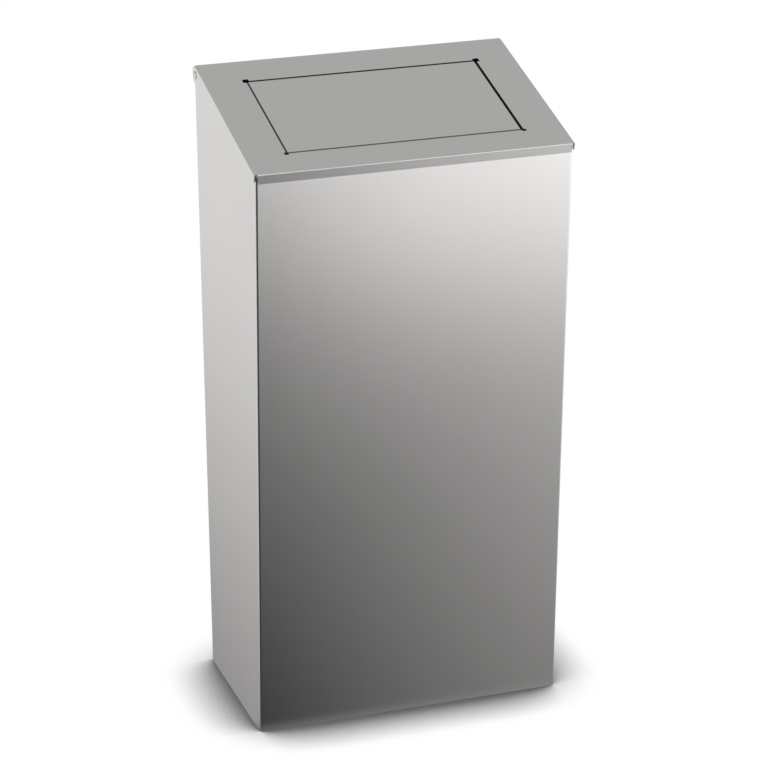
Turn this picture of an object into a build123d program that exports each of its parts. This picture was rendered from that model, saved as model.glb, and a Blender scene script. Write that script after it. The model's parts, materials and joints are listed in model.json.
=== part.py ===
"""Wall-mounted waste bin in brushed stainless sheet, with a sloping hinged lid and a sprung push-in flap.

Millimetres. +Z is up, +Y points at the wall, and the origin is under the middle of the whole bin.
On the lid, s is the distance up the slope from the front edge and n the height above its top face.
"""
from build123d import *

import os
from math import asin, atan2, ceil, cos, radians, sin, sqrt, tan

# Driving dimensions
BODY_WIDTH = 300.0
OVERALL_DEPTH = 200.0
FRONT_TAPER = 28.5
LID_FRONT_HEIGHT = 559.2
SLOPE = radians(15.6)
SHEET = 1.0
BACK_SHEET = 1.5
LID_CLEARANCE = 0.5
BODY_BEND = 2.0
LID_BEND = 1.5

# Plan of the bin
LID_WIDTH = BODY_WIDTH + 2 * (LID_CLEARANCE + SHEET)
WALL_Y = OVERALL_DEPTH / 2
LID_FRONT_Y = -OVERALL_DEPTH / 2
FRONT_TOP_Y = LID_FRONT_Y + LID_CLEARANCE + SHEET
FRONT_BOTTOM_Y = FRONT_TOP_Y + FRONT_TAPER
BODY_REAR_Y = WALL_Y - BACK_SHEET
SIDE_INNER_X = BODY_WIDTH / 2 - SHEET
LEAN = atan2(FRONT_TAPER, LID_FRONT_HEIGHT)

# Lid hinge: the rear of the lid is rolled about it, just clear of the wall
ROLL_RADIUS = 9.0
WALL_CLEARANCE = 0.5
HINGE_Y = WALL_Y - WALL_CLEARANCE - ROLL_RADIUS
HINGE_S = (HINGE_Y - ROLL_RADIUS * sin(SLOPE) - LID_FRONT_Y) / cos(SLOPE)
HINGE_Z = LID_FRONT_HEIGHT + HINGE_S * sin(SLOPE) - ROLL_RADIUS * cos(SLOPE)
ROLL_ARC = 135.6
ROLL_END_ARC = 35.6
ROLL_HALF_WIDTH = 145.0
RIVET_SHANK = 2.0
RIVET_HEAD = 4.0
RIVET_HEAD_HEIGHT = 1.2
RIVET_HEAD_RIM = 0.25
RIVET_TAIL = 3.4
RIVET_TAIL_HEIGHT = 1.2
RUNNING_FIT = 0.06
HEAD_PLAY = 0.1
WASHER_RADIUS = 5.0
WASHER_THICKNESS = 0.4
DOUBLER = 1.5
DOUBLER_LENGTH = 24.0
DOUBLER_DROP = 28.0

# Body edges
EAR_RADIUS = ROLL_RADIUS - SHEET - LID_CLEARANCE
EAR_BACK = 6.0
REAR_EDGE_DROP = 7.5
REAR_FLANGE = 18.0
TOP_RETURN = 13.0
PAN_FLANGE = 14.0
CORNER_RADIUS = 3.0

# Wall holes
WALL_HOLE_RADIUS = 3.5
WALL_HOLE_SPACING_X = 200.0
WALL_HOLE_SPACING_Z = 380.0
WALL_HOLE_CENTRE_Z = 330.0

# Lid edges
LIP_DEPTH = 8.8
LIP_NOTCH = 3.0
LID_EDGE_DEPTH = 2.2
CORNER_TAB_DEPTH = 7.6
CORNER_TAB_LENGTH = 3.0
CHEEK_TAPER_END = 48.0

# Flap opening in the lid, with its turned-down collar
OPENING_WIDTH = 226.0
OPENING_FRONT = 30.0
OPENING_REAR = 161.0
COLLAR_DEPTH = 9.0
COLLAR_CORNER_GAP = 3.5
REAR_RELIEF = 6.0
FRONT_RELIEF = 4.0
STOP_X = 50.0
STOP_WIDTH = 24.0
STOP_REACH = 5.5

# Flap
FLAP_GAP_LEFT = 1.0
FLAP_GAP_RIGHT = 2.0
FLAP_GAP_ENDS = 1.4
FLAP_DEPTH = 9.0
FLAP_REAR_DEPTH = 4.6
FLAP_BEND = 1.4
FLAP_HEM = 5.5
FLAP_LUG = 5.4
FLAP_HINGE_BELOW_TOP = 7.0
FLAP_HINGE_FROM_EDGE = 7.0
FLAP_HINGE_S = OPENING_REAR - FLAP_GAP_ENDS - FLAP_HINGE_FROM_EDGE
BODY_GAP = 0.3
BUFFER_LENGTH = 16.0
BUFFER_WIDTH = 4.0

# Rod, clips and bushes
ROD_RADIUS = 2.5
ROD_END_X = 118.0
ROD_CHAMFER = 0.5
LUG_RADIUS = 4.9
CLIP_RADIUS = 5.5
CLIP_THICKNESS = 0.8
BUSH_RADIUS = 3.5
BUSH_FLANGE = 5.0
BUSH_FLANGE_THICKNESS = 0.8
BUSH_STAND_OUT = 0.3

# Return spring on the rod
SPRING_WIRE = 0.6
SPRING_RADIUS = 4.3
SPRING_PITCH = 1.75
SPRING_TURNS = 5
SPRING_START_X = 96.0
SPRING_REAR_ANGLE = 40.0
SPRING_FRONT_ANGLE = 88.6
SPRING_FRONT_LEG = 34.0
SPRING_REAR_LEG = 12.0
SPRING_SAMPLES = 600

# Bag frame and what holds it
FRAME_WIRE = 2.0
FRAME_HALF_WIDTH = 138.0
FRAME_FRONT_Y = -84.0
FRAME_REAR_Y = 92.0
FRAME_Z = 530.0
FRAME_CORNER = 18.0
FRAME_FIT = 0.1
BRACKET_BEND = 1.6
HOOK_X = 80.0
HOOK_WIDTH = 14.0
HOOK_SHEET = 1.2
HOOK_PLATE_TOP = 11.0
HOOK_LIP_TOP = 4.0
REST_Y = -52.0
REST_WIDTH = 16.0
REST_REACH = 14.0
REST_DROP = 18.0
REST_SHEET = 1.2

SIDES = {"left": -1, "right": 1}


def on_slope(s, n):
    """The point at distance s up the lid and height n over its top face, on the middle plane."""
    y = LID_FRONT_Y + s * cos(SLOPE) - n * sin(SLOPE)
    z = LID_FRONT_HEIGHT + s * sin(SLOPE) + n * cos(SLOPE)
    return Vector(0, y, z)


UP_SLOPE = Vector(0, cos(SLOPE), sin(SLOPE))
OFF_SLOPE = Vector(0, -sin(SLOPE), cos(SLOPE))
TOP_FACE = Plane(origin=on_slope(0, 0), x_dir=(1, 0, 0), z_dir=OFF_SLOPE)
SLOPE_PROFILE = Plane(origin=on_slope(0, 0), x_dir=UP_SLOPE, z_dir=(1, 0, 0))
LID_SECTION = Plane(origin=on_slope(HINGE_S, 0), x_dir=(1, 0, 0), z_dir=-UP_SLOPE)
LID_HINGE_AXIS = Axis((0, HINGE_Y, HINGE_Z), (-1, 0, 0))
FLAP_HINGE = on_slope(FLAP_HINGE_S, -FLAP_HINGE_BELOW_TOP)


def save(piece, name):
    """Labels a finished piece and writes it as its own STEP file."""
    piece.part.label = name
    export_step(piece.part, f"parts/{name}.step")


def outward(side, centre):
    """A plane through the given centre whose x points outwards on that side and whose y points up."""
    return Plane(origin=centre, x_dir=(side, 0, 0), z_dir=(0, -side, 0))


os.makedirs("parts", exist_ok=True)

# Body shell: one sheet folded round the front and both sides, with a return at the top of the front
# and a welding flange down each rear edge. Its rear top corners are the ears of the lid hinge.
body_top_n = -SHEET - LID_CLEARANCE
top_front_z = LID_FRONT_HEIGHT + (FRONT_TOP_Y - LID_FRONT_Y) * tan(SLOPE) + body_top_n / cos(SLOPE)
top_rear_z = top_front_z + (BODY_REAR_Y - FRONT_TOP_Y) * tan(SLOPE)
with BuildPart() as body_shell:
    with BuildSketch(Plane.YZ):
        with BuildLine():
            Polyline(
                (FRONT_BOTTOM_Y, 0), (FRONT_TOP_Y, top_front_z), (BODY_REAR_Y, top_rear_z), (BODY_REAR_Y, 0),
                close=True,
            )
        make_face()
    extrude(amount=BODY_WIDTH / 2, both=True)
    upright = body_shell.edges().filter_by(lambda e: abs(e.tangent_at(0.5).Z) > 0.9)
    fillet(upright, radius=BODY_BEND)
    front_top = body_shell.edges().filter_by(Axis.X).group_by(Axis.Y)[0]
    fillet(front_top, radius=BODY_BEND)
    offset(amount=-SHEET, openings=body_shell.faces().sort_by(Axis.Z)[0])
    # Mouth of the bin, behind the return at the front
    with BuildSketch(TOP_FACE):
        with Locations((0, TOP_RETURN)):
            Rectangle(2 * SIDE_INNER_X, 2 * HINGE_S, align=(Align.CENTER, Align.MIN))
    extrude(amount=-4 * SHEET, mode=Mode.SUBTRACT)
    # Rear between the welding flanges
    with BuildSketch(Plane.XZ.offset(-BODY_REAR_Y - SHEET)):
        Rectangle(BODY_WIDTH - 2 * REAR_FLANGE, 4 * HINGE_Z)
        with Locations((0, HINGE_Z - REAR_EDGE_DROP)):
            Rectangle(2 * BODY_WIDTH, HINGE_Z, align=(Align.CENTER, Align.MIN))
    extrude(amount=BODY_REAR_Y - HINGE_Y - EAR_BACK + SHEET, mode=Mode.SUBTRACT)
    # Round top of the hinge ears
    with BuildSketch(Plane.YZ):
        with Locations((HINGE_Y - EAR_RADIUS * sin(SLOPE), HINGE_Z)):
            Rectangle(4 * EAR_RADIUS, 4 * EAR_RADIUS, align=(Align.MIN, Align.MIN))
        with Locations((HINGE_Y, HINGE_Z)):
            Circle(EAR_RADIUS, mode=Mode.SUBTRACT)
    extrude(amount=BODY_WIDTH, both=True, mode=Mode.SUBTRACT)
    with Locations(Plane.YZ.offset(BODY_WIDTH / 2)):
        with Locations((HINGE_Y, HINGE_Z)):
            Hole(radius=RIVET_SHANK, depth=BODY_WIDTH)
save(body_shell, "body_shell")

# Back panel: flat sheet welded over the rear flanges, with the four wall holes.
with BuildPart() as back_panel:
    with BuildSketch(Plane.XZ.offset(-WALL_Y)):
        with Locations((0, (HINGE_Z - REAR_EDGE_DROP) / 2)):
            RectangleRounded(BODY_WIDTH - 2 * BODY_BEND, HINGE_Z - REAR_EDGE_DROP, CORNER_RADIUS)
        with Locations((0, WALL_HOLE_CENTRE_Z)):
            with GridLocations(WALL_HOLE_SPACING_X, WALL_HOLE_SPACING_Z, 2, 2):
                Circle(WALL_HOLE_RADIUS, mode=Mode.SUBTRACT)
    extrude(amount=BACK_SHEET)
save(back_panel, "back_panel")

# Base pan: tray that closes the bottom, with its edges turned up inside the shell.
with BuildPart() as base_pan:
    pan_front_bottom = FRONT_BOTTOM_Y + SHEET / cos(LEAN)
    pan_front_top = pan_front_bottom - PAN_FLANGE * tan(LEAN)
    pan_rear = BODY_REAR_Y - SHEET
    with BuildSketch(Plane.YZ):
        with BuildLine():
            Polyline(
                (pan_front_bottom, 0), (pan_front_top, PAN_FLANGE), (pan_rear, PAN_FLANGE), (pan_rear, 0),
                close=True,
            )
        make_face()
    extrude(amount=SIDE_INNER_X, both=True)
    pan_corners = base_pan.edges().filter_by(lambda e: abs(e.tangent_at(0.5).Z) > 0.9)
    fillet(pan_corners, radius=BODY_BEND)
    offset(amount=-SHEET, openings=base_pan.faces().sort_by(Axis.Z)[-1])
save(base_pan, "base_pan")

# Hinge doublers, rivets and washers
for name, side in SIDES.items():
    with BuildPart() as hinge_doubler:
        with BuildSketch(Plane.YZ.offset(side * SIDE_INNER_X)):
            with Locations((HINGE_Y, HINGE_Z)):
                Circle(EAR_RADIUS)
            with Locations((HINGE_Y + EAR_BACK - DOUBLER_LENGTH / 2, HINGE_Z - DOUBLER_DROP / 2)):
                RectangleRounded(DOUBLER_LENGTH, DOUBLER_DROP, CORNER_RADIUS)
            with Locations((HINGE_Y + EAR_BACK, HINGE_Z)):
                Rectangle(EAR_RADIUS, 2 * EAR_RADIUS, align=(Align.MIN, Align.CENTER), mode=Mode.SUBTRACT)
            with Locations((HINGE_Y, HINGE_Z)):
                Circle(RIVET_SHANK, mode=Mode.SUBTRACT)
        extrude(amount=-side * DOUBLER)
    save(hinge_doubler, f"hinge_doubler_{name}")

    tail_face = SIDE_INNER_X - DOUBLER
    head_face = LID_WIDTH / 2 + HEAD_PLAY
    head_top = head_face + RIVET_HEAD_HEIGHT
    dome_height = RIVET_HEAD_HEIGHT - RIVET_HEAD_RIM
    dome_radius = (RIVET_HEAD**2 + dome_height**2) / (2 * dome_height)
    dome_centre = head_top - dome_radius
    dome_angle = asin(RIVET_HEAD / dome_radius)
    with BuildPart() as hinge_rivet:
        with BuildSketch(outward(side, (0, HINGE_Y, HINGE_Z))):
            with BuildLine():
                Polyline(
                    (head_top, 0), (tail_face - RIVET_TAIL_HEIGHT, 0),
                    (tail_face - RIVET_TAIL_HEIGHT, RIVET_TAIL),
                    (tail_face, RIVET_TAIL), (tail_face, RIVET_SHANK), (head_face, RIVET_SHANK),
                    (head_face, RIVET_HEAD), (head_face + RIVET_HEAD_RIM, RIVET_HEAD),
                )
                ThreePointArc(
                    (head_face + RIVET_HEAD_RIM, RIVET_HEAD),
                    (dome_centre + dome_radius * cos(dome_angle / 2), dome_radius * sin(dome_angle / 2)),
                    (head_top, 0),
                )
            make_face()
        revolve(axis=Axis((0, HINGE_Y, HINGE_Z), (side, 0, 0)))
    save(hinge_rivet, f"hinge_rivet_{name}")

    with BuildPart() as hinge_washer:
        with BuildSketch(Plane.YZ.offset(side * BODY_WIDTH / 2)):
            with Locations((HINGE_Y, HINGE_Z)):
                Circle(WASHER_RADIUS)
                Circle(RIVET_SHANK, mode=Mode.SUBTRACT)
        extrude(amount=side * WASHER_THICKNESS)
    save(hinge_washer, f"hinge_washer_{name}")


def lid_strip(with_lip, arc):
    """Section of the lid sheet on the slope profile: the top, part of the rear roll and perhaps the lip."""
    with BuildSketch(SLOPE_PROFILE) as section:
        with BuildLine():
            if with_lip:
                lip_foot = (-LIP_DEPTH * tan(SLOPE - LEAN), -LIP_DEPTH)
                FilletPolyline(lip_foot, (0, 0), (HINGE_S, 0), radius=LID_BEND)
            else:
                Line((0, 0), (HINGE_S, 0))
            CenterArc((HINGE_S, -ROLL_RADIUS), ROLL_RADIUS, 90, -arc)
            offset(amount=SHEET, side=Side.RIGHT)
        make_face()
    return section.sketch


# Lid panel: sloping top with a front lip, cheeks outside the body, a rear roll about the hinge and the
# flap opening, whose collar carries the flap rod and the two flap stops.
strip_with_roll = lid_strip(True, ROLL_ARC)
strip_with_lip = lid_strip(True, ROLL_END_ARC)
strip_plain = lid_strip(False, ROLL_END_ARC)
with BuildSketch(LID_SECTION) as outside_corner:
    with Locations((LID_WIDTH / 2 - LID_BEND, -LID_BEND), (LID_BEND - LID_WIDTH / 2, -LID_BEND)):
        Rectangle(4 * LID_BEND, 4 * LID_BEND)
        Circle(LID_BEND, mode=Mode.SUBTRACT)
    Rectangle(LID_WIDTH - 2 * LID_BEND, LID_WIDTH, mode=Mode.SUBTRACT)
    with Locations((0, -LID_BEND)):
        Rectangle(2 * LID_WIDTH, LID_WIDTH, align=(Align.CENTER, Align.MAX), mode=Mode.SUBTRACT)
# Side strips: the plain lid sheet outside the lip's notches
with BuildPart() as side_strips:
    extrude(strip_plain, amount=LID_WIDTH / 2, both=True)
    with BuildSketch(SLOPE_PROFILE):
        Rectangle(4 * HINGE_S, 8 * ROLL_RADIUS)
    extrude(amount=LID_WIDTH / 2 - LIP_NOTCH, both=True, mode=Mode.SUBTRACT)
with BuildPart() as lid_panel:
    extrude(strip_with_roll, amount=ROLL_HALF_WIDTH, both=True)
    extrude(strip_with_lip, amount=LID_WIDTH / 2 - LIP_NOTCH, both=True)
    add(side_strips.part)
    for side in (-1, 1):
        with BuildSketch(SLOPE_PROFILE.offset(side * LID_WIDTH / 2)):
            with Locations((HINGE_S, -ROLL_RADIUS)):
                Circle(ROLL_RADIUS)
            with Locations((CHEEK_TAPER_END, 0)):
                Rectangle(SHEET, LID_EDGE_DEPTH, align=(Align.MIN, Align.MAX))
            make_hull()
            Rectangle(CHEEK_TAPER_END + SHEET, LID_EDGE_DEPTH, align=(Align.MIN, Align.MAX))
            Rectangle(CORNER_TAB_LENGTH, CORNER_TAB_DEPTH, align=(Align.MIN, Align.MAX))
            with Locations((HINGE_S, -ROLL_RADIUS)):
                Circle(RIVET_SHANK + RUNNING_FIT, mode=Mode.SUBTRACT)
        extrude(amount=-side * SHEET)
    extrude(outside_corner.sketch, amount=HINGE_S + SHEET, mode=Mode.SUBTRACT)
    revolve(outside_corner.sketch, axis=LID_HINGE_AXIS, revolution_arc=ROLL_END_ARC, mode=Mode.SUBTRACT)
    # Opening, with a square relief at each corner
    with BuildSketch(TOP_FACE):
        with Locations((0, (OPENING_FRONT + OPENING_REAR) / 2)):
            Rectangle(OPENING_WIDTH, OPENING_REAR - OPENING_FRONT)
        with Locations((-OPENING_WIDTH / 2, OPENING_REAR), (OPENING_WIDTH / 2, OPENING_REAR)):
            Rectangle(REAR_RELIEF, REAR_RELIEF)
        with Locations((-OPENING_WIDTH / 2, OPENING_FRONT), (OPENING_WIDTH / 2, OPENING_FRONT)):
            Rectangle(FRONT_RELIEF, FRONT_RELIEF)
    extrude(amount=-2 * SHEET, mode=Mode.SUBTRACT)
    # Collar along the sides, with the lugs of the rod
    for side in (-1, 1):
        with BuildSketch(SLOPE_PROFILE.offset(side * OPENING_WIDTH / 2)):
            with Locations((OPENING_FRONT + COLLAR_CORNER_GAP, 0)):
                Rectangle(
                    OPENING_REAR - OPENING_FRONT - 2 * COLLAR_CORNER_GAP, COLLAR_DEPTH,
                    align=(Align.MIN, Align.MAX),
                )
            with Locations((FLAP_HINGE_S, -FLAP_HINGE_BELOW_TOP)):
                Circle(LUG_RADIUS)
                Circle(ROD_RADIUS, mode=Mode.SUBTRACT)
        extrude(amount=side * SHEET)
    # Collar along the front and the rear
    with BuildSketch(SLOPE_PROFILE):
        with Locations((OPENING_FRONT - SHEET, 0), (OPENING_REAR, 0)):
            Rectangle(SHEET, COLLAR_DEPTH, align=(Align.MIN, Align.MAX))
    extrude(amount=OPENING_WIDTH / 2 - COLLAR_CORNER_GAP, both=True)
    # Flap stops, turned forwards from the rear collar
    with BuildSketch(TOP_FACE.offset(-COLLAR_DEPTH)):
        with Locations((-STOP_X, OPENING_REAR + SHEET), (STOP_X, OPENING_REAR + SHEET)):
            Rectangle(STOP_WIDTH, STOP_REACH + SHEET, align=(Align.CENTER, Align.MAX))
    extrude(amount=SHEET)
save(lid_panel, "lid_panel")

# Flap rod across the opening, tight in the lugs of the collar
with BuildPart() as flap_rod:
    with BuildSketch(SLOPE_PROFILE.offset(-ROD_END_X)):
        with Locations((FLAP_HINGE_S, -FLAP_HINGE_BELOW_TOP)):
            Circle(ROD_RADIUS)
    extrude(amount=2 * ROD_END_X)
    chamfer(flap_rod.edges().filter_by(GeomType.CIRCLE), length=ROD_CHAMFER)
save(flap_rod, "flap_rod")

# Flap panel: folded down on its four edges, with a hem at the front and a lug on each side
flap_left = -OPENING_WIDTH / 2 + FLAP_GAP_LEFT
flap_right = OPENING_WIDTH / 2 - FLAP_GAP_RIGHT
flap_front = OPENING_FRONT + FLAP_GAP_ENDS
flap_rear = OPENING_REAR - FLAP_GAP_ENDS
flap_middle = (flap_left + flap_right) / 2
with BuildPart() as flap_panel:
    with BuildSketch(TOP_FACE):
        with Locations((flap_middle, (flap_front + flap_rear) / 2)):
            Rectangle(flap_right - flap_left, flap_rear - flap_front)
    extrude(amount=-FLAP_DEPTH)
    off_slope_axis = Axis((0, 0, 0), OFF_SLOPE)
    fillet(flap_panel.edges().filter_by(off_slope_axis), radius=LID_BEND)
    fillet(flap_panel.faces().sort_by(off_slope_axis)[-1].edges(), radius=FLAP_BEND)
    offset(amount=-SHEET, openings=flap_panel.faces().sort_by(off_slope_axis)[0])
    # The rear edge is less deep, to rest on the stops
    with BuildSketch(TOP_FACE.offset(-FLAP_DEPTH)):
        with Locations((flap_middle, flap_rear)):
            Rectangle(flap_right - flap_left - 4 * SHEET, 4 * SHEET)
    extrude(amount=FLAP_DEPTH - FLAP_REAR_DEPTH, mode=Mode.SUBTRACT)
    # Hem turned inwards along the front
    with BuildSketch(TOP_FACE.offset(-FLAP_DEPTH)):
        with Locations((flap_middle, flap_front + SHEET / 2)):
            Rectangle(flap_right - flap_left - 4 * SHEET, FLAP_HEM, align=(Align.CENTER, Align.MIN))
    extrude(amount=SHEET)
    for edge_x, inwards in ((flap_left, 1), (flap_right, -1)):
        with BuildSketch(SLOPE_PROFILE.offset(edge_x)):
            with Locations((FLAP_HINGE_S, -FLAP_HINGE_BELOW_TOP)):
                Circle(FLAP_LUG)
        extrude(amount=inwards * SHEET)
        with BuildSketch(SLOPE_PROFILE.offset(edge_x)):
            with Locations((FLAP_HINGE_S, -FLAP_HINGE_BELOW_TOP)):
                Circle(BUSH_RADIUS)
        extrude(amount=inwards * 2 * SHEET, mode=Mode.SUBTRACT)
save(flap_panel, "flap_panel")


def spring_quarters(start, end):
    """Two tangent arcs from one point of the coil to the next, half a turn on. Both are (point, tangent)."""
    (p0, t0), (p1, t1) = start, end
    gap = p1 - p0
    both = t0 + t1
    spread = 2 * (1 - t0.dot(t1))
    reach = (sqrt(gap.dot(both) ** 2 + spread * gap.dot(gap)) - gap.dot(both)) / spread
    q0 = p0 + t0 * reach
    q1 = p1 - t1 * reach
    joint = (q0 + q1) / 2
    TangentArc(p0, joint, tangent=t0)
    TangentArc(joint, p1, tangent=(q1 - q0).normalized())


def spring_point(side, turn_degrees):
    """Point of the coil and unit tangent there, at an angle counted from the rear leg round the rod."""
    angle = radians(turn_degrees)
    rise = SPRING_PITCH / 360
    x = side * (SPRING_START_X + rise * (turn_degrees - SPRING_REAR_ANGLE))
    point = FLAP_HINGE + UP_SLOPE * (SPRING_RADIUS * cos(angle)) + OFF_SLOPE * (SPRING_RADIUS * sin(angle))
    around = UP_SLOPE * (-SPRING_RADIUS * sin(angle)) + OFF_SLOPE * (SPRING_RADIUS * cos(angle))
    along = Vector(side * SPRING_PITCH / radians(360), 0, 0)
    return Vector(x, point.Y, point.Z), (around + along).normalized()


def least_gap(wire):
    """Clear distance between stretches of the spring's wire half a turn or more apart, measured on points."""
    points = [wire @ (index / SPRING_SAMPLES) for index in range(SPRING_SAMPLES + 1)]
    apart = ceil(radians(180) * SPRING_RADIUS * SPRING_SAMPLES / wire.length)
    centres = min(
        (later - point).length
        for index, point in enumerate(points)
        for later in points[index + apart:]
    )
    return centres - 2 * SPRING_WIRE


# Clips, bushes, springs, buffers and the bag frame's hooks and rests
for name, side in SIDES.items():
    with BuildPart() as rod_clip:
        with BuildSketch(SLOPE_PROFILE.offset(side * (OPENING_WIDTH / 2 + SHEET))):
            with Locations((FLAP_HINGE_S, -FLAP_HINGE_BELOW_TOP)):
                Circle(CLIP_RADIUS)
                Circle(ROD_RADIUS, mode=Mode.SUBTRACT)
        extrude(amount=side * CLIP_THICKNESS)
    save(rod_clip, f"rod_clip_{name}")

    edge_x = flap_left if side < 0 else flap_right
    with BuildPart() as flap_bush:
        with BuildSketch(SLOPE_PROFILE.offset(edge_x + side * BUSH_STAND_OUT)):
            with Locations((FLAP_HINGE_S, -FLAP_HINGE_BELOW_TOP)):
                Circle(BUSH_RADIUS)
        extrude(amount=-side * (SHEET + BUSH_STAND_OUT))
        with BuildSketch(SLOPE_PROFILE.offset(edge_x - side * SHEET)):
            with Locations((FLAP_HINGE_S, -FLAP_HINGE_BELOW_TOP)):
                Circle(BUSH_FLANGE)
        extrude(amount=-side * BUSH_FLANGE_THICKNESS)
        with BuildSketch(SLOPE_PROFILE.offset(edge_x + side * SHEET)):
            with Locations((FLAP_HINGE_S, -FLAP_HINGE_BELOW_TOP)):
                Circle(ROD_RADIUS + RUNNING_FIT)
        extrude(amount=-side * 4 * SHEET, mode=Mode.SUBTRACT)
    save(flap_bush, f"flap_bush_{name}")

    last_angle = SPRING_FRONT_ANGLE + 360 * SPRING_TURNS
    half_turns = 2 * SPRING_TURNS
    step = (last_angle - SPRING_REAR_ANGLE) / half_turns
    with BuildPart() as flap_spring:
        with BuildLine() as spring_path:
            first_point, first_tangent = spring_point(side, SPRING_REAR_ANGLE)
            Line(first_point - first_tangent * SPRING_REAR_LEG, first_point)
            for half_turn in range(half_turns):
                begin = SPRING_REAR_ANGLE + half_turn * step
                spring_quarters(spring_point(side, begin), spring_point(side, begin + step))
            last_point, last_tangent = spring_point(side, last_angle)
            Line(last_point, last_point + last_tangent * SPRING_FRONT_LEG)
        with BuildSketch(Plane(origin=spring_path.wires()[0] @ 0, z_dir=spring_path.wires()[0] % 0)):
            Circle(SPRING_WIRE)
        sweep(path=spring_path.wires()[0])
    save(flap_spring, f"flap_spring_{name}")
    print(f"flap_spring_{name} least gap {least_gap(spring_path.wires()[0]):.2f} mm")

    with BuildPart() as flap_buffer:
        with BuildSketch(TOP_FACE.offset(SHEET - COLLAR_DEPTH)):
            with Locations((side * STOP_X, flap_rear - SHEET)):
                RectangleRounded(BUFFER_LENGTH, BUFFER_WIDTH, SHEET)
        extrude(amount=COLLAR_DEPTH - SHEET - FLAP_REAR_DEPTH - BODY_GAP)
    save(flap_buffer, f"flap_buffer_{name}")

    with BuildPart() as bag_hook:
        with BuildSketch(Plane.YZ.offset(side * HOOK_X)):
            with BuildLine():
                plate_y = BODY_REAR_Y
                channel_y = FRAME_REAR_Y - FRAME_WIRE - FRAME_FIT - HOOK_SHEET
                floor_z = FRAME_Z - FRAME_WIRE - HOOK_SHEET
                FilletPolyline(
                    (plate_y, FRAME_Z + HOOK_PLATE_TOP), (plate_y, floor_z), (channel_y, floor_z),
                    (channel_y, FRAME_Z + HOOK_LIP_TOP), radius=BRACKET_BEND,
                )
                offset(amount=HOOK_SHEET, side=Side.RIGHT)
            make_face()
        extrude(amount=HOOK_WIDTH / 2, both=True)
    save(bag_hook, f"bag_hook_{name}")

    with BuildPart() as bag_rest:
        with BuildSketch(outward(side, (0, REST_Y, 0))):
            with BuildLine():
                shelf_z = FRAME_Z - FRAME_WIRE
                FilletPolyline(
                    (SIDE_INNER_X - REST_REACH, shelf_z), (SIDE_INNER_X, shelf_z),
                    (SIDE_INNER_X, shelf_z - REST_DROP), radius=BRACKET_BEND,
                )
                offset(amount=REST_SHEET, side=Side.RIGHT)
            make_face()
        extrude(amount=REST_WIDTH / 2, both=True)
    save(bag_rest, f"bag_rest_{name}")

# Bag frame: a wire hoop that lies in the hooks and on the rests
with BuildSketch(Plane.XY.offset(FRAME_Z)) as frame_outline:
    with Locations((0, (FRAME_FRONT_Y + FRAME_REAR_Y) / 2)):
        RectangleRounded(2 * FRAME_HALF_WIDTH, FRAME_REAR_Y - FRAME_FRONT_Y, FRAME_CORNER)
frame_path = frame_outline.sketch.face().outer_wire()
with BuildPart() as bag_frame:
    with BuildSketch(Plane(origin=frame_path @ 0, z_dir=frame_path % 0)):
        Circle(FRAME_WIRE)
    sweep(path=frame_path)
save(bag_frame, "bag_frame")
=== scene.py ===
"""Dresses the wall-mounted steel waste bin: brushed sheet, wire, springs, rubber and nylon.

It stands on a plain white floor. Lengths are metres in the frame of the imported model: +Z up, +Y towards
the wall, origin under the bin's middle.
"""

import json
import logging
import math
from collections.abc import Callable
from dataclasses import dataclass, field
from enum import Enum

import bpy
from mathutils import Matrix, Vector


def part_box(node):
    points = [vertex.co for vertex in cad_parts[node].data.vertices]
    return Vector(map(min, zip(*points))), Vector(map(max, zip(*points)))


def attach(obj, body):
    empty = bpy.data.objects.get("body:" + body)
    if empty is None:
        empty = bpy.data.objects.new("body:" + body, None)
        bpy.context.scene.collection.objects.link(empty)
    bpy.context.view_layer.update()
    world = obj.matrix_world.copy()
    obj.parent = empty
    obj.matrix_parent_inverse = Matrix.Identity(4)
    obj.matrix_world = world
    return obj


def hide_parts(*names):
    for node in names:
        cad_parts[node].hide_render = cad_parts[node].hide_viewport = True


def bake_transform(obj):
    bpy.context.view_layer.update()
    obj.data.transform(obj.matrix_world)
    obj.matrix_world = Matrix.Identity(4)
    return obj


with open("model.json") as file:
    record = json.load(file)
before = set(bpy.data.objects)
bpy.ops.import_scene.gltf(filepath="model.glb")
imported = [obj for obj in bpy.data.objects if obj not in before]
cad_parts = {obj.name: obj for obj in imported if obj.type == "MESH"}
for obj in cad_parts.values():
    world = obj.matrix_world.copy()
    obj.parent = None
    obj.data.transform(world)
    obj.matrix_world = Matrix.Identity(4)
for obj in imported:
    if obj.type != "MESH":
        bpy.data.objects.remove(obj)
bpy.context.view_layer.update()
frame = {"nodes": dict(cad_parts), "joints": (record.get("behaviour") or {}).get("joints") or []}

logging.basicConfig(level=logging.INFO, format="%(message)s")
log = logging.getLogger("bin")

MM = 0.001

# A Mix node's inputs share their names between its data types, so they are told by their place.
MIX_FACTOR = 0
MIX_NUMBERS = (2, 3)
MIX_COLOURS = (6, 7)
MIX_COLOUR_OUT = 2

# A face is folded away from the slope where less than this share of its normal points out of the slope.
FOLDED = 0.9


class Body(Enum):
    """The rigid bodies that pieces ride on."""

    ROOT = "root"
    LID = "lid"
    FLAP = "flap"


class Grain(Enum):
    """The direction in which a sheet was brushed, as a row axis."""

    ALONG_X = 0
    ALONG_Z = 2


class Side(Enum):
    """The bin's two sides, as seen from the front."""

    LEFT = -1
    RIGHT = 1

    @property
    def word(self) -> str:
        """The side's word in node names."""
        return self.name.lower()


def joint(name: str) -> dict:
    """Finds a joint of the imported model.

    Args:
        name: the joint's name.

    Returns:
        The joint's entry in the record.
    """
    return next(entry for entry in frame["joints"] if entry["name"] == name)


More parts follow.
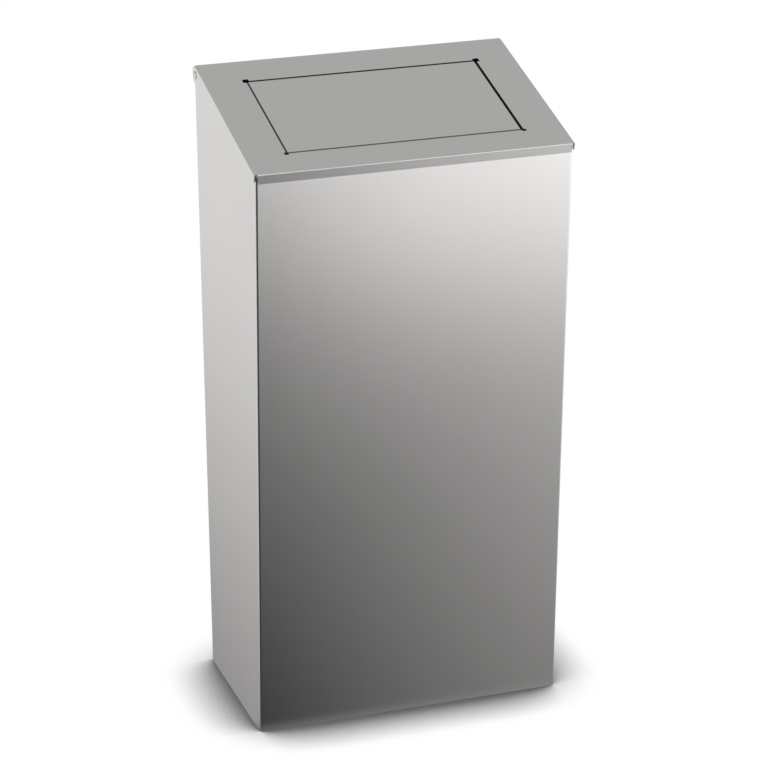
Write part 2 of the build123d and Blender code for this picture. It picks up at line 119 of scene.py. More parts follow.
class Nodes:
    """Adds nodes to a tree and links them by name, so that a tree reads from top to bottom."""

    def __init__(self, tree: bpy.types.NodeTree) -> None:
        """Keeps the tree that is being built."""
        self.tree = tree

    def add(self, kind: str, **settings: object) -> bpy.types.Node:
        """Adds one node.

        Args:
            kind: the node's type.
            **settings: properties of the node, set as they are named.

        Returns:
            The new node.
        """
        node = self.tree.nodes.new(kind)
        for name, value in settings.items():
            setattr(node, name, value)
        return node

    def join(self, source: bpy.types.NodeSocket, target: bpy.types.NodeSocket) -> None:
        """Links one output to one input."""
        self.tree.links.new(source, target)

    def feed(self, node: bpy.types.Node, name: str, value: object) -> None:
        """Sets an input of a node, or links it where the value is a socket."""
        if isinstance(value, bpy.types.NodeSocket):
            self.join(value, node.inputs[name])
        else:
            node.inputs[name].default_value = value

    def compute(self, operation: str, first: object, second: object) -> bpy.types.NodeSocket:
        """Adds one Math node.

        Args:
            operation: the Math node's operation.
            first: the first operand, a number or a socket.
            second: the second operand, a number or a socket.

        Returns:
            The node's output.
        """
        node = self.add("ShaderNodeMath", operation=operation)
        for index, value in enumerate((first, second)):
            if isinstance(value, bpy.types.NodeSocket):
                self.join(value, node.inputs[index])
            else:
                node.inputs[index].default_value = value
        return node.outputs[0]


class ShaderGroups:
    """Effects that several finishes share, each built once as a node group."""

    FINE_SHARE = 0.7
    FINE_DETAIL = 3.0
    FINE_ROUGHNESS = 0.65
    COARSE_SHARE = 0.3
    COARSE_DETAIL = 2.0
    CLOUD_DETAIL = 4.0
    CLOUD_DISTORTION = 0.6
    CLOUD_ENDS = (0.35, 0.75)

    def __init__(self) -> None:
        """Builds both groups."""
        self.brushing = self._brushing()
        self.handling = self._handling()

    @staticmethod
    def _group(
        name: str, inputs: dict[str, tuple[str, float]], outputs: dict[str, str]
    ) -> bpy.types.NodeTree:
        """Makes an empty group with its sockets.

        Args:
            name: the group's name.
            inputs: for each input its socket type and its default, which a vector doesn't take.
            outputs: for each output its socket type.

        Returns:
            The group's tree.
        """
        tree = bpy.data.node_groups.new(name, "ShaderNodeTree")
        for label, (kind, default) in inputs.items():
            socket = tree.interface.new_socket(label, in_out="INPUT", socket_type=kind)
            if kind == "NodeSocketFloat":
                socket.default_value = default
        for label, kind in outputs.items():
            tree.interface.new_socket(label, in_out="OUTPUT", socket_type=kind)
        return tree

    def _brushing(self) -> bpy.types.NodeTree:
        """Fine lines of a brushed sheet: long thin noise in two widths.

        Returns:
            A group whose Lines run from 0 to 1 and whose Broad part holds the slow changes along the grain.
        """
        tree = self._group(
            "brushed_lines",
            {
                "Vector": ("NodeSocketVector", 0.0),
                "Fine": ("NodeSocketFloat", 900.0),
                "Coarse": ("NodeSocketFloat", 160.0),
            },
            {"Lines": "NodeSocketFloat", "Broad": "NodeSocketFloat"},
        )
        nodes = Nodes(tree)
        inside = nodes.add("NodeGroupInput")
        outside = nodes.add("NodeGroupOutput")
        fine = nodes.add("ShaderNodeTexNoise", noise_dimensions="3D")
        nodes.feed(fine, "Vector", inside.outputs["Vector"])
        nodes.feed(fine, "Scale", inside.outputs["Fine"])
        nodes.feed(fine, "Detail", self.FINE_DETAIL)
        nodes.feed(fine, "Roughness", self.FINE_ROUGHNESS)
        coarse = nodes.add("ShaderNodeTexNoise", noise_dimensions="3D")
        nodes.feed(coarse, "Vector", inside.outputs["Vector"])
        nodes.feed(coarse, "Scale", inside.outputs["Coarse"])
        nodes.feed(coarse, "Detail", self.COARSE_DETAIL)
        narrow = nodes.compute("MULTIPLY", fine.outputs[0], self.FINE_SHARE)
        broad = nodes.compute("MULTIPLY", coarse.outputs[0], self.COARSE_SHARE)
        nodes.join(nodes.compute("ADD", narrow, broad), outside.inputs["Lines"])
        nodes.join(coarse.outputs[0], outside.inputs["Broad"])
        return tree

    def _handling(self) -> bpy.types.NodeTree:
        """Faint cloudy marks that wiping and hands leave on metal.

        Returns:
            A group whose Clouds run from 0, clean, to 1.
        """
        tree = self._group(
            "handling_marks",
            {"Vector": ("NodeSocketVector", 0.0), "Scale": ("NodeSocketFloat", 6.0)},
            {"Clouds": "NodeSocketFloat"},
        )
        nodes = Nodes(tree)
        inside = nodes.add("NodeGroupInput")
        outside = nodes.add("NodeGroupOutput")
        cloud = nodes.add("ShaderNodeTexNoise", noise_dimensions="3D")
        nodes.feed(cloud, "Vector", inside.outputs["Vector"])
        nodes.feed(cloud, "Scale", inside.outputs["Scale"])
        nodes.feed(cloud, "Detail", self.CLOUD_DETAIL)
        nodes.feed(cloud, "Distortion", self.CLOUD_DISTORTION)
        spread = nodes.add("ShaderNodeMapRange")
        nodes.feed(spread, "Value", cloud.outputs[0])
        nodes.feed(spread, "From Min", self.CLOUD_ENDS[0])
        nodes.feed(spread, "From Max", self.CLOUD_ENDS[1])
        nodes.join(spread.outputs[0], outside.inputs["Clouds"])
        return tree


def material_tree(name: str) -> tuple[bpy.types.Material, Nodes, bpy.types.Node]:
    """Starts a material.

    Args:
        name: the material's name.

    Returns:
        The material, its nodes and its Principled shader.
    """
    material = bpy.data.materials.new(name)
    material.use_nodes = True
    return material, Nodes(material.node_tree), material.node_tree.nodes["Principled BSDF"]


def tint(
    nodes: Nodes,
    low: tuple[float, ...],
    high: tuple[float, ...],
    factor: bpy.types.NodeSocket,
) -> bpy.types.NodeSocket:
    """Mixes two colours by a mask.

    Args:
        nodes: the material's nodes.
        low: the colour at 0.
        high: the colour at 1.
        factor: the mask.

    Returns:
        The mixed colour.
    """
    ramp = nodes.add("ShaderNodeMix", data_type="RGBA")
    nodes.join(factor, ramp.inputs["Factor"])
    for place, colour in zip(MIX_COLOURS, (low, high)):
        ramp.inputs[place].default_value = (*colour, 1.0)
    return ramp.outputs[MIX_COLOUR_OUT]


@dataclass(frozen=True)
class BrushedSheet:
    """Satin stainless sheet with its brushing along one axis."""

    name: str
    grain: Grain
    shade: float = 0.60
    warmth: float = 0.005
    contrast: float = 0.02
    roughness: float = 0.23
    roughness_spread: float = 0.04
    line_stretch: float = 0.012
    relief: float = 0.002 * MM
    relief_strength: float = 0.35
    lean: float = 0.0

    def build(self, groups: ShaderGroups) -> bpy.types.Material:
        """Builds the material.

        Args:
            groups: the shared shader groups.

        Returns:
            The finished material.
        """
        material, nodes, shader = material_tree(self.name)
        place = nodes.add("ShaderNodeTexCoord")
        stretch = nodes.add("ShaderNodeMapping")
        nodes.join(place.outputs["Object"], stretch.inputs["Vector"])
        scale = [1.0, 1.0, 1.0]
        scale[self.grain.value] = self.line_stretch
        stretch.inputs["Scale"].default_value = scale
        lines = nodes.add("ShaderNodeGroup", node_tree=groups.brushing)
        nodes.join(stretch.outputs["Vector"], lines.inputs["Vector"])
        clouds = nodes.add("ShaderNodeGroup", node_tree=groups.handling)
        nodes.join(place.outputs["Object"], clouds.inputs["Vector"])
        low, high = (
            (level, level, level - self.warmth)
            for level in (self.shade - self.contrast, self.shade + self.contrast)
        )
        nodes.join(tint(nodes, low, high, lines.outputs["Lines"]), shader.inputs["Base Color"])
        rough_lines = nodes.compute("MULTIPLY", lines.outputs["Lines"], self.roughness_spread)
        rough_clouds = nodes.compute("MULTIPLY", clouds.outputs["Clouds"], self.roughness_spread / 2)
        spread = nodes.compute("ADD", rough_lines, rough_clouds)
        nodes.join(nodes.compute("ADD", spread, self.roughness), shader.inputs["Roughness"])
        bump = nodes.add("ShaderNodeBump")
        bump.inputs["Strength"].default_value = self.relief_strength
        bump.inputs["Distance"].default_value = self.relief
        nodes.join(lines.outputs["Lines"], bump.inputs["Height"])
        normal = bump.outputs["Normal"]
        nodes.join(self._tipped(nodes, normal) if self.lean else normal, shader.inputs["Normal"])
        shader.inputs["Metallic"].default_value = 1.0
        return material

    def _tipped(self, nodes: Nodes, normal: bpy.types.NodeSocket) -> bpy.types.NodeSocket:
        """Tips an upright sheet's shading down by the lean, in degrees, as if its foot were folded further in.

        Args:
            nodes: the material's nodes.
            normal: the normal of the sheet as it is.

        Returns:
            The tipped normal, of unit length.
        """
        tipped = nodes.add("ShaderNodeVectorMath", operation="ADD")
        nodes.join(normal, tipped.inputs[0])
        tipped.inputs[1].default_value = (0.0, 0.0, -math.tan(math.radians(self.lean)))
        unit = nodes.add("ShaderNodeVectorMath", operation="NORMALIZE")
        nodes.join(tipped.outputs[0], unit.inputs[0])
        return unit.outputs[0]


@dataclass(frozen=True)
class DrawnWire:
    """Drawn or turned steel with faint lengthways scratches."""

    name: str
    colour: tuple[float, float, float]
    roughness: float = 0.28
    roughness_spread: float = 0.15
    fine: float = 1500.0
    coarse: float = 300.0
    darkest: float = 0.85

    def build(self, groups: ShaderGroups) -> bpy.types.Material:
        """Builds the material.

        Args:
            groups: the shared shader groups.

        Returns:
            The finished material.
        """
        material, nodes, shader = material_tree(self.name)
        place = nodes.add("ShaderNodeTexCoord")
        lines = nodes.add("ShaderNodeGroup", node_tree=groups.brushing)
        nodes.join(place.outputs["Object"], lines.inputs["Vector"])
        lines.inputs["Fine"].default_value = self.fine
        lines.inputs["Coarse"].default_value = self.coarse
        dark = tuple(self.darkest * part for part in self.colour)
        nodes.join(tint(nodes, dark, self.colour, lines.outputs["Lines"]), shader.inputs["Base Color"])
        spread = nodes.compute("MULTIPLY", lines.outputs["Broad"], self.roughness_spread)
        nodes.join(nodes.compute("ADD", spread, self.roughness), shader.inputs["Roughness"])
        shader.inputs["Metallic"].default_value = 1.0
        return material


@dataclass(frozen=True)
class Moulded:
    """Moulded nylon or rubber with a faint matt texture."""

    name: str
    colour: tuple[float, float, float]
    roughness: float
    roughness_spread: float = 0.12
    cloud_scale: float = 700.0
    darkest: float = 0.9
    relief: float = 0.02 * MM

    def build(self, groups: ShaderGroups) -> bpy.types.Material:
        """Builds the material.

        Args:
            groups: the shared shader groups.

        Returns:
            The finished material.
        """
        material, nodes, shader = material_tree(self.name)
        place = nodes.add("ShaderNodeTexCoord")
        clouds = nodes.add("ShaderNodeGroup", node_tree=groups.handling)
        nodes.join(place.outputs["Object"], clouds.inputs["Vector"])
        clouds.inputs["Scale"].default_value = self.cloud_scale
        dark = tuple(self.darkest * part for part in self.colour)
        nodes.join(tint(nodes, self.colour, dark, clouds.outputs["Clouds"]), shader.inputs["Base Color"])
        spread = nodes.compute("MULTIPLY", clouds.outputs["Clouds"], self.roughness_spread)
        nodes.join(nodes.compute("ADD", spread, self.roughness), shader.inputs["Roughness"])
        bump = nodes.add("ShaderNodeBump")
        bump.inputs["Distance"].default_value = self.relief
        nodes.join(clouds.outputs["Clouds"], bump.inputs["Height"])
        nodes.join(bump.outputs["Normal"], shader.inputs["Normal"])
        return material


class Finishes:
    """Every material of the bin, by the name that its pieces use."""

    def __init__(self) -> None:
        """Builds the shared groups and the materials."""
        groups = ShaderGroups()
        self.body = BrushedSheet("body_sheet", Grain.ALONG_Z).build(groups)
        self.back = BrushedSheet("back_sheet", Grain.ALONG_Z, shade=0.58, roughness=0.40).build(groups)
        self.pan = BrushedSheet("pan_sheet", Grain.ALONG_X, shade=0.56, roughness=0.42).build(groups)
        self.lid = BrushedSheet("lid_sheet", Grain.ALONG_X).build(groups)
        self.flap = BrushedSheet("flap_sheet", Grain.ALONG_X).build(groups)
        self.lip = BrushedSheet("lip_sheet", Grain.ALONG_X, lean=6.5).build(groups)
        # Near-black sheet: painted shade that stands for the dark gaps between the flap and the collar round
        # the opening.
        self.edge = BrushedSheet("painted_gap_shade", Grain.ALONG_X, shade=0.10, roughness=0.55).build(groups)
        self.wire = DrawnWire("drawn_wire", (0.58, 0.58, 0.56)).build(groups)
        self.rivet = DrawnWire("rivet_steel", (0.70, 0.70, 0.68), roughness=0.22).build(groups)
        self.spring = DrawnWire("spring_steel", (0.36, 0.36, 0.37), roughness=0.32).build(groups)
        self.weld = DrawnWire("weld_marks", (0.42, 0.40, 0.38), roughness=0.45).build(groups)
        self.nylon = Moulded("white_nylon", (0.80, 0.80, 0.76), roughness=0.45).build(groups)
        self.washer = Moulded("grey_nylon", (0.20, 0.20, 0.19), roughness=0.5).build(groups)
        self.rubber = Moulded("black_rubber", (0.03, 0.03, 0.03), roughness=0.75).build(groups)


def dress(node: str, material: bpy.types.Material) -> None:
    """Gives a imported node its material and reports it."""
    mesh = frame["nodes"][node].data
    mesh.materials.clear()
    mesh.materials.append(material)
    log.info("dressed %s with %s", node, material.name)


@dataclass(frozen=True)
class Slope:
    """The lid's slope, on which places are told by their distance up it from the front edge."""

    angle: float = math.radians(15.6)
    front: Vector = field(default_factory=lambda: Vector((0.0, -0.1, 0.5592)))

    @property
    def up(self) -> Vector:
        """The unit direction up the slope."""
        return Vector((0, math.cos(self.angle), math.sin(self.angle)))

    @property
    def off(self) -> Vector:
        """The unit direction out of the slope."""
        return Vector((0, -math.sin(self.angle), math.cos(self.angle)))

    def climb(self, point: Vector) -> float:
        """Tells how far up the slope a point is."""
        return (point - self.front).dot(self.up)

    def folded(self, normal: Vector) -> bool:
        """Tells from its normal whether a face is folded away from the slope."""
        return abs(normal.dot(self.off)) < FOLDED


def dress_part(
    node: str, material: bpy.types.Material, wanted: Callable[[Vector, Vector], bool]
) -> None:
    """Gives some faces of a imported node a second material.

    Args:
        node: the node's name.
        material: the second material.
        wanted: tells from a face's centre and normal whether it takes the material.
    """
    carrier = frame["nodes"][node]
    mesh = carrier.data
    mesh.materials.append(material)
    place = carrier.matrix_world
    turn = place.to_3x3()
    count = 0
    for face in mesh.polygons:
        if wanted(place @ face.center, turn @ face.normal):
            face.material_index = len(mesh.materials) - 1
            count += 1
    log.info("dressed %d faces of %s with %s", count, node, material.name)


class GeometryTree:
    """A Geometry Nodes tree that makes one kind of repeated or winding piece."""

    def __init__(self, name: str, inputs: dict[str, tuple[str, float]]) -> None:
        """Makes the tree with its named inputs and its geometry output."""
        self.tree = bpy.data.node_groups.new(name, "GeometryNodeTree")
        self.nodes = Nodes(self.tree)
        for label, (kind, default) in inputs.items():
            socket = self.tree.interface.new_socket(label, in_out="INPUT", socket_type=kind)
            socket.default_value = default
        self.tree.interface.new_socket("Geometry", in_out="OUTPUT", socket_type="NodeSocketGeometry")
        self.inside = self.nodes.add("NodeGroupInput")

    def close(self, geometry: bpy.types.NodeSocket, material: bpy.types.Material) -> None:
        """Ends the tree in Realize Instances and Set Material."""
        real = self.nodes.add("GeometryNodeRealizeInstances")
        self.nodes.join(geometry, real.inputs[0])
        painted = self.nodes.add("GeometryNodeSetMaterial")
        self.nodes.join(real.outputs[0], painted.inputs["Geometry"])
        painted.inputs["Material"].default_value = material
        outside = self.nodes.add("NodeGroupOutput")
        self.nodes.join(painted.outputs[0], outside.inputs[0])

    def bake(self, name: str, values: dict[str, object], place: Matrix) -> bpy.types.Object:
        """Runs the tree and keeps its result as a plain mesh.

        Args:
            name: the piece's name.
            values: the tree's inputs by name.
            place: where the result goes.

        Returns:
            The piece, with its object at the origin.
        """
        seed = bpy.data.objects.new(f"{name}_source", bpy.data.meshes.new(f"{name}_source"))
        bpy.context.scene.collection.objects.link(seed)
        modifier = seed.modifiers.new("nodes", "NODES")
        modifier.node_group = self.tree
        for item in self.tree.interface.items_tree:
            if item.in_out == "INPUT" and item.name in values:
                modifier[item.identifier] = values[item.name]
        graph = bpy.context.evaluated_depsgraph_get()
        mesh = bpy.data.meshes.new_from_object(seed.evaluated_get(graph))
        seed.modifiers.remove(modifier)
        bpy.data.objects.remove(seed)
        mesh.transform(place)
        mesh.name = name
        piece = bpy.data.objects.new(name, mesh)
        bpy.context.scene.collection.objects.link(piece)
        for face in mesh.polygons:
            face.use_smooth = True
        return piece


@dataclass
class BodyShell:
    """The folded shell, its back and base, and the marks of the spot welds inside it."""

    finishes: Finishes
    weld_count: int = 11
    weld_radius: float = 2.6 * MM
    weld_height: float = 0.12 * MM
    weld_from_edge: float = 9.0 * MM
    weld_end_margin: float = 30.0 * MM
    weld_sides: int = 20
    weld_top_share: float = 0.8
    flange: float = 1.0 * MM

    def build(self) -> None:
        """Dresses the sheets and adds the two rows of weld marks."""
        dress("body_shell", self.finishes.body)
        dress("back_panel", self.finishes.back)
        dress("base_pan", self.finishes.pan)
        tree = self._weld_tree()
        low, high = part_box("body_shell")
        flange_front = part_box("back_panel")[0][1] - self.flange
        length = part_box("back_panel")[1][2] - 2 * self.weld_end_margin
        for side in Side:
            edge = low[0] if side is Side.LEFT else high[0]
            start = Vector((edge - side.value * self.weld_from_edge, flange_front, self.weld_end_margin))
            place = Matrix.Translation(start) @ Matrix.Rotation(math.radians(90), 4, "X")
            values = {
                "Count": self.weld_count,
                "Spacing": length / (self.weld_count - 1),
                "Radius": self.weld_radius,
                "Height": self.weld_height,
            }
            piece = tree.bake(f"weld_row_{side.word}", values, place)
            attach(piece, Body.ROOT.value)
            log.info("built %s with %d marks", piece.name, self.weld_count)

    def _weld_tree(self) -> GeometryTree:
        """Builds the tree of one row of flat round marks.

        Returns:
            The tree, whose row runs along its local Y and whose marks face its local Z.
        """
        tree = GeometryTree(
            "weld_row",
            {
                "Count": ("NodeSocketInt", 9),
                "Spacing": ("NodeSocketFloat", 0.05),
                "Radius": ("NodeSocketFloat", 0.0026),
                "Height": ("NodeSocketFloat", 0.0001),
            },
        )
        nodes = tree.nodes
        row = nodes.add("GeometryNodeMeshLine", mode="OFFSET")
        nodes.join(tree.inside.outputs["Count"], row.inputs["Count"])
        offset = nodes.add("ShaderNodeCombineXYZ")
        nodes.join(tree.inside.outputs["Spacing"], offset.inputs["Y"])
        nodes.join(offset.outputs[0], row.inputs["Offset"])
        mark = nodes.add("GeometryNodeMeshCone", fill_type="NGON")
        mark.inputs["Vertices"].default_value = self.weld_sides
        nodes.join(tree.inside.outputs["Radius"], mark.inputs["Radius Bottom"])
        top = nodes.compute("MULTIPLY", tree.inside.outputs["Radius"], self.weld_top_share)
        nodes.join(top, mark.inputs["Radius Top"])
        nodes.join(tree.inside.outputs["Height"], mark.inputs["Depth"])
        scatter = nodes.add("GeometryNodeInstanceOnPoints")
        nodes.join(row.outputs["Mesh"], scatter.inputs["Points"])
        nodes.join(mark.outputs["Mesh"], scatter.inputs["Instance"])
        tree.close(scatter.outputs["Instances"], self.finishes.weld)
        return tree


@dataclass
class LidHinge:
    """Doublers, washers and rivets on which the lid turns."""

    finishes: Finishes

    def build(self) -> None:
        """Dresses the pieces of both sides."""
        for side in Side:
            dress(f"hinge_doubler_{side.word}", self.finishes.back)
            dress(f"hinge_rivet_{side.word}", self.finishes.rivet)
            dress(f"hinge_washer_{side.word}", self.finishes.washer)


@dataclass
class BagHolder:
    """The wire hoop with its hooks and rests."""

    finishes: Finishes

    def build(self) -> None:
        """Dresses the hoop and what holds it."""
        dress("bag_frame", self.finishes.wire)
        for side in Side:
            dress(f"bag_hook_{side.word}", self.finishes.back)
            dress(f"bag_rest_{side.word}", self.finishes.back)


@dataclass
class Lid:
    """The sloping lid with the rod, clips and rubber stops of the flap."""

    finishes: Finishes
    slope: Slope = field(default_factory=Slope)
    opening_half: float = 115.0 * MM
    opening_ends: tuple[float, float] = (28.5 * MM, 162.5 * MM)
    lip_back: float = 1.6 * MM
    lip_facing: float = 0.95

    def build(self) -> None:
        """Dresses the lid and what it carries."""
        dress("lid_panel", self.finishes.lid)
        dress_part("lid_panel", self.finishes.lip, self._on_lip)
        # Painted shade: the collar's folded faces round the opening take the near-black sheet, standing for
        # the shade in the gap round the flap.
        dress_part("lid_panel", self.finishes.edge, self._on_collar)
        dress("flap_rod", self.finishes.wire)
        for side in Side:
            dress(f"rod_clip_{side.word}", self.finishes.spring)
            dress(f"flap_buffer_{side.word}", self.finishes.rubber)

    def _on_lip(self, centre: Vector, normal: Vector) -> bool:
        """Tells whether a face is on the outside of the front lip."""
        return normal.y < -self.lip_facing and centre.y < self.slope.front.y + self.lip_back

    def _on_collar(self, centre: Vector, normal: Vector) -> bool:
        """Tells whether a face is on the collar that is folded down round the opening."""
        low, high = self.opening_ends
        inside = abs(centre.x) < self.opening_half and low < self.slope.climb(centre) < high
        return inside and self.slope.folded(normal)


@dataclass
class Flap:
    """The push flap with its bushes, and the springs that close it."""

    finishes: Finishes
    wire: float = 0.6 * MM
    coil_radius: float = 4.3 * MM
    pitch: float = 1.75 * MM
    turns: int = 5
    start_x: float = 96.0 * MM
    rear_angle: float = 40.0
    front_angle: float = 88.6
    front_leg: float = 34.0 * MM
    rear_leg: float = 12.0 * MM
    coil_steps: int = 40
    wire_sides: int = 14
    slope: Slope = field(default_factory=Slope)
    hinge: Vector = field(default_factory=lambda: Vector(joint("flap_hinge")["pos_m"]))

    def build(self) -> None:
        """Dresses the flap and replaces each spring by a coil and two legs, the rear leg riding on the lid and
        the front leg on the flap.
        """
        dress("flap_panel", self.finishes.flap)
        # Painted shade: the flap's folded faces and bends take the near-black sheet, standing for the shade in
        # the gap round the flap.
        dress_part("flap_panel", self.finishes.edge, lambda _, normal: self.slope.folded(normal))
        coil_tree = self._coil_tree()
        leg_tree = self._leg_tree()
        for side in Side:
            dress(f"flap_bush_{side.word}", self.finishes.nylon)
            coil = self._coil(coil_tree, side)
            rear = self._leg(leg_tree, f"spring_rear_leg_{side.word}", side, self.rear_angle, -self.rear_leg)
            end = self.front_angle + 360 * self.turns
            front = self._leg(leg_tree, f"spring_front_leg_{side.word}", side, end, self.front_leg)
            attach(rear, Body.LID.value)
            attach(front, Body.FLAP.value)
            ends = [tuple(self._amid_coil(side, degrees)) for degrees in (self.rear_angle, end)]
            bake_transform(coil)
            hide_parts(f"flap_spring_{side.word}")
            log.info("built the spring on the %s", side.word)

    def _on_coil(self, side: Side, degrees: float) -> tuple[Vector, Vector]:
        """Finds a point of the coil.

        Args:
            side: the side that the spring is on.
            degrees: the angle round the rod, counted as the coil winds.

        Returns:
            The point, and the unit tangent there.
        """
        up, off = self.slope.up, self.slope.off
        angle = math.radians(degrees)
        x = side.value * (self.start_x + self.pitch * (degrees - self.rear_angle) / 360)
        point = self.hinge + self.coil_radius * (math.cos(angle) * up + math.sin(angle) * off)
        tangent = self.coil_radius * (math.cos(angle) * off - math.sin(angle) * up)
        tangent += Vector((side.value * self.pitch / (2 * math.pi), 0, 0))
        return Vector((x, point.y, point.z)), tangent.normalized()

    def _amid_coil(self, side: Side, degrees: float) -> Vector:
        """Finds the point on the hinge line beside a point of the coil.

        Args:
            side: the side that the spring is on.
            degrees: the angle round the rod, counted as the coil winds.

        Returns:
            The point on the hinge line.
        """
        point, _ = self._on_coil(side, degrees)
        return Vector((point.x, self.hinge.y, self.hinge.z))

    def _coil(self, tree: GeometryTree, side: Side) -> bpy.types.Object:
        """Makes the winding of one spring.

        Args:
            tree: the tree of a helix.
            side: the side that the spring is on.

        Returns:
            The piece.
        """
        start, _ = self._on_coil(side, self.rear_angle)
        centre = self._amid_coil(side, self.rear_angle)
        out = (start - centre).normalized()
        along = Vector((side.value, 0, 0))
        around = along.cross(out)
        place = Matrix.Translation(centre) @ Matrix((out, around, along)).transposed().to_4x4()
        turn_count = self.turns + (self.front_angle - self.rear_angle) / 360
        values = {
            "Turns": turn_count,
            "Radius": self.coil_radius,
            "Length": self.pitch * turn_count,
            "Wire": self.wire,
            "Backwards": side is Side.RIGHT,
        }
        return tree.bake(f"spring_coil_{side.word}", values, place)

    def _leg(
        self, tree: GeometryTree, name: str, side: Side, degrees: float, length: float
    ) -> bpy.types.Object:
        """Makes one straight leg.

        Args:
            tree: the tree of a straight wire.
            name: the piece's name.
            side: the side that the spring is on.
            degrees: where on the coil the leg starts.
            length: the leg's length, negative where it runs against the winding.

        Returns:
            The piece.
        """
        point, tangent = self._on_coil(side, degrees)
        direction = tangent if length > 0 else -tangent
        turn = direction.to_track_quat("Z", "Y").to_matrix().to_4x4()
        values = {"Length": abs(length), "Wire": self.wire}
        return tree.bake(name, values, Matrix.Translation(point) @ turn)

    def _coil_tree(self) -> GeometryTree:
        """Builds the tree of a helix of round wire.

        Returns:
            The tree.
        """
        tree = GeometryTree(
            "spring_coil",
            {
                "Turns": ("NodeSocketFloat", 5.0),
                "Radius": ("NodeSocketFloat", 0.0043),
                "Length": ("NodeSocketFloat", 0.009),
                "Wire": ("NodeSocketFloat", 0.0006),
                "Backwards": ("NodeSocketBool", False),
            },
        )
        nodes = tree.nodes
        spiral = nodes.add("GeometryNodeCurveSpiral")
        spiral.inputs["Resolution"].default_value = self.coil_steps
        nodes.join(tree.inside.outputs["Turns"], spiral.inputs["Rotations"])
        nodes.join(tree.inside.outputs["Radius"], spiral.inputs["Start Radius"])
        nodes.join(tree.inside.outputs["Radius"], spiral.inputs["End Radius"])
        nodes.join(tree.inside.outputs["Length"], spiral.inputs["Height"])
        nodes.join(tree.inside.outputs["Backwards"], spiral.inputs["Reverse"])
        tree.close(self._round_wire(tree, spiral.outputs[0]), self.finishes.spring)
        return tree

    def _leg_tree(self) -> GeometryTree:
        """Builds the tree of a straight piece of round wire.

        Returns:
            The tree.
        """
        tree = GeometryTree(
            "spring_leg", {"Length": ("NodeSocketFloat", 0.03), "Wire": ("NodeSocketFloat", 0.0006)}
        )
        nodes = tree.nodes
        end = nodes.add("ShaderNodeCombineXYZ")
        nodes.join(tree.inside.outputs["Length"], end.inputs["Z"])
        line = nodes.add("GeometryNodeCurvePrimitiveLine")
        nodes.join(end.outputs[0], line.inputs["End"])
        tree.close(self._round_wire(tree, line.outputs[0]), self.finishes.spring)
        return tree

    def _round_wire(self, tree: GeometryTree, curve: bpy.types.NodeSocket) -> bpy.types.NodeSocket:
        """Gives a curve its round section.

        Args:
            tree: the tree that is being built, with an input named Wire.
            curve: the curve.

        Returns:
            The closed tube.
        """
        nodes = tree.nodes
        section = nodes.add("GeometryNodeCurvePrimitiveCircle")
        section.inputs["Resolution"].default_value = self.wire_sides
        nodes.join(tree.inside.outputs["Wire"], section.inputs["Radius"])
        tube = nodes.add("GeometryNodeCurveToMesh")
        nodes.join(curve, tube.inputs["Curve"])
        nodes.join(section.outputs[0], tube.inputs["Profile Curve"])
        tube.inputs["Fill Caps"].default_value = True
        return tube.outputs[0]


@dataclass(frozen=True)
class Softbox:
    """A soft lamp: its place, the point that it faces, its width and height, and its power in watts."""

    name: str
    place: tuple[float, float, float]
    target: tuple[float, float, float]
    size: tuple[float, float]
    power: float

    def hang(self) -> None:
        """Adds the lamp, which the camera doesn't see."""
        data = bpy.data.lights.new(self.name, "AREA")
        data.shape = "RECTANGLE"
        data.size, data.size_y = self.size
        data.energy = self.power
        lamp = bpy.data.objects.new(self.name, data)
        place = Vector(self.place)
        aim = (Vector(self.target) - place).to_track_quat("-Z", "Y").to_matrix().to_4x4()
        lamp.matrix_world = Matrix.Translation(place) @ aim
        lamp.visible_camera = False
        bpy.context.scene.collection.objects.link(lamp)


